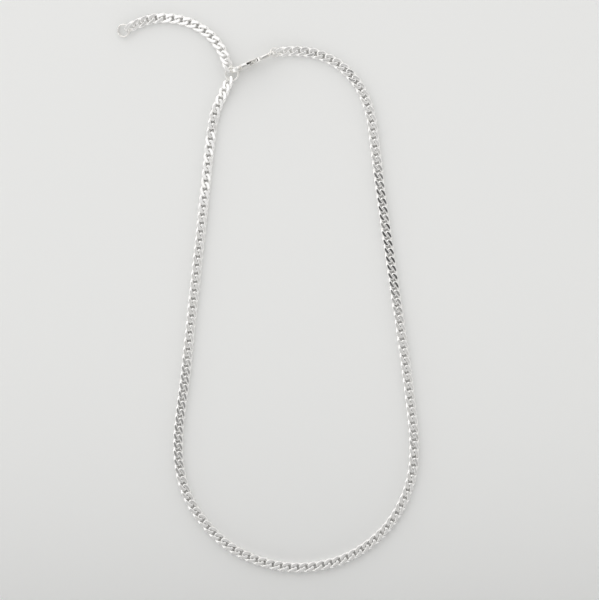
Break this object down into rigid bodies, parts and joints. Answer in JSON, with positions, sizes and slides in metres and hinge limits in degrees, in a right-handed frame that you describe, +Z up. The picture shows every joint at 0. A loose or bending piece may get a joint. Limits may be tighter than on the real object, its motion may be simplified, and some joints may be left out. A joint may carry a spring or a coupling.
{
  "type": "curb chain necklace",
  "caption": "Curb chain necklace lying in a loop, its flat-cut links hooked into each other, closed by a lobster clasp in a ring that also holds a short extender chain.",
  "frame": {"origin": "on the surface that the necklace lies on, under the middle of its box", "axes": "+Z up from the surface, +Y from the bottom of the loop towards the clasp, +X to the right of the loop seen from above"},
  "size_m": [0.1074, 0.1987, 0.0066],
  "materials": {
    "silver": "polished sterling silver"
  },
  "bodies": {
    "necklace": {"chain_left": "silver", "chain_right": "silver", "extender_chain": "silver", "join_ring": "silver", "end_ring": "silver", "clasp_ring": "silver", "clasp_body": "silver"},
    "lever": {"clasp_lever": "silver"}
  },
  "joints": [
    {"name": "lever_turn", "type": "hinge", "parent": "necklace", "child": "lever", "pos_m": [-0.00466, 0.08194, 0.0033], "axis": [0.4226, -0.9063, 0], "range_deg": [0, 18], "stiffness_Nm_per_rad": 0.004, "springref_deg": -14.32}
  ]
}
